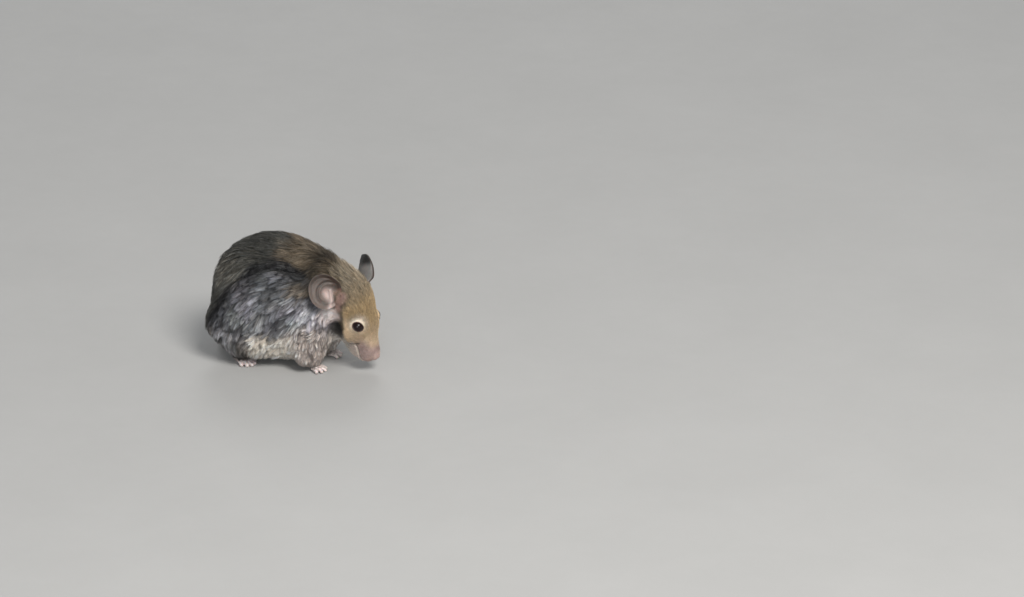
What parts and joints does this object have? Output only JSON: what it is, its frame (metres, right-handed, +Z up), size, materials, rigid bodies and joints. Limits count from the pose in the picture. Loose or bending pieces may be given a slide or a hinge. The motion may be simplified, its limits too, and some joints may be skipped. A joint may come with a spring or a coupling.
{
  "type": "house mouse model",
  "caption": "Still, life-size model of a young house mouse, hunched on its feet with the head lowered and the tail laid along its far side.",
  "frame": {"origin": "on the floor under the middle of the model's bounding box", "axes": "+X is forwards, from rump to head; +Y is the mouse's left; +Z is up"},
  "size_m": [0.0512, 0.04, 0.0368],
  "materials": {
    "coat": "soft grey-brown fur, damp and clumped on the flanks, tan on the head",
    "bare_skin": "thin pink-grey skin with fine down and wrinkles",
    "eye": "wet black gloss",
    "claw": "translucent pale horn"
  },
  "bodies": {
    "root": {"trunk": "coat", "neck": "coat", "head": "coat", "lower_jaw": "coat", "nose": "bare_skin", "foreleg_right": "coat", "foreleg_left": "coat", "hind_leg_right": "coat", "hind_leg_left": "coat", "eye_right": "eye", "eye_left": "eye", "ear_right": "bare_skin", "ear_left": "bare_skin", "forepaw_right": "bare_skin", "forepaw_left": "bare_skin", "hind_foot_right": "bare_skin", "hind_foot_left": "bare_skin", "tail_base": "bare_skin", "tail_middle": "bare_skin", "tail_tip": "bare_skin"}
  },
  "joints": []
}
